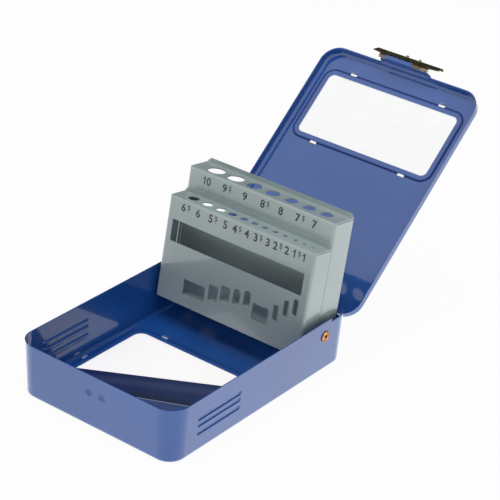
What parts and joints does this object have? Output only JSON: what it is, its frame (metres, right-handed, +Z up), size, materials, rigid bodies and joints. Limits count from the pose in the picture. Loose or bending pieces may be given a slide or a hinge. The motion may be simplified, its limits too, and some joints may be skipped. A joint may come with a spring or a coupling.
{
  "type": "drill index box",
  "caption": "Flat hinged pressed-steel box with windows, a spring latch, and a folding stepped rack that rises with the lid to hold twist drills by size.",
  "frame": {"origin": "middle of the tray's foot, on the surface that the case stands on", "axes": "+X to the right seen from the front, +Y from the front to the lid hinge, +Z up"},
  "size_m": [0.1106, 0.2808, 0.1295],
  "materials": {
    "blue_paint": "gloss enamel",
    "grey_paint": "smooth hammer-grey enamel",
    "bronzed_steel": "bronzed spring steel",
    "bright_steel": "zinc plated",
    "rivet_brass": "coppery brass",
    "card": "printed, white with a dark blue corner",
    "clear_plastic": "clear"
  },
  "bodies": {
    "tray_body": {"tray": "blue_paint", "hinge_rod": "bright_steel", "left_pivot_rivet": "rivet_brass", "right_pivot_rivet": "rivet_brass", "left_pivot_spacer": "bright_steel", "right_pivot_spacer": "bright_steel", "floor_card": "card", "floor_window_pane": "clear_plastic"},
    "lid_body": {"lid": "blue_paint", "lid_window_pane": "clear_plastic", "latch_pin": "bright_steel"},
    "rack_body": {"rack_front_shell": "grey_paint", "rack_rear_shell": "grey_paint"},
    "latch_body": {"latch_clip": "bronzed_steel"}
  },
  "joints": [
    {"name": "lid_hinge", "type": "hinge", "parent": "tray_body", "child": "lid_body", "pos_m": [0, 0.0756, 0.0286], "axis": [1, 0, 0], "range_deg": [0, 139.8]},
    {"name": "rack_fold", "type": "hinge", "parent": "tray_body", "child": "rack_body", "pos_m": [0, 0.0533, 0.0235], "axis": [1, 0, 0], "range_deg": [0, 99]},
    {"name": "latch_swing", "type": "hinge", "parent": "lid_body", "child": "latch_body", "pos_m": [0, 0.19399, 0.12787], "axis": [1, 0, 0], "range_deg": [0, 138]}
  ],
  "couplings": [
    {"joint": "rack_fold", "follows": "lid_hinge", "ratio": 0.70815}
  ]
}
